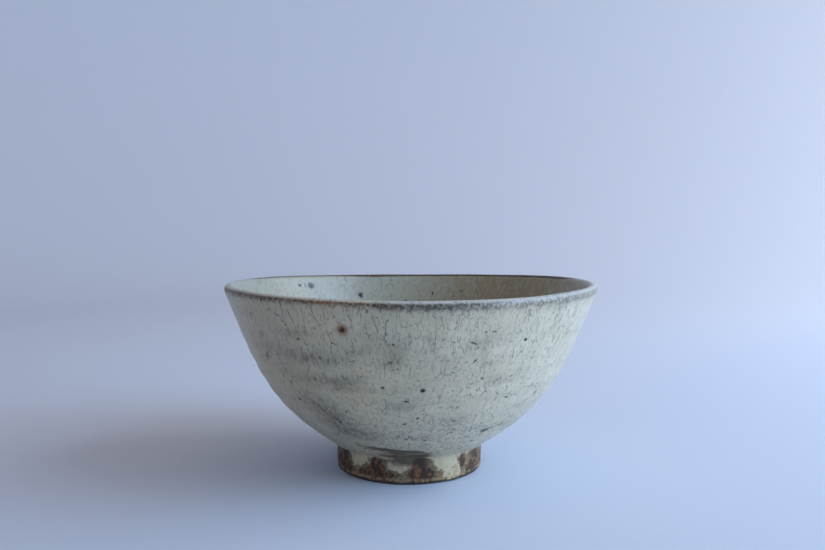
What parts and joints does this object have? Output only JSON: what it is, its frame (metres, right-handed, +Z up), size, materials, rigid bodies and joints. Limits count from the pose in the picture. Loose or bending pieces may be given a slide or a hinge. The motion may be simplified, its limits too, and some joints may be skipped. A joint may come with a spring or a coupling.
{
  "type": "rice bowl",
  "caption": "Deep wheel-thrown stoneware bowl with a flaring wall, rounded lip and turned foot ring, hollow and empty.",
  "frame": {"origin": "middle of the foot ring's resting plane", "axes": "+Z up along the bowl's axis of turning; +X towards the picture's right; -Y towards the picture's viewer"},
  "size_m": [0.1211, 0.1212, 0.0614],
  "materials": {
    "glaze": "crackled pale grey-green glaze, bare iron-brown clay at the foot"
  },
  "bodies": {
    "root": {"bowl": "glaze"}
  },
  "joints": []
}
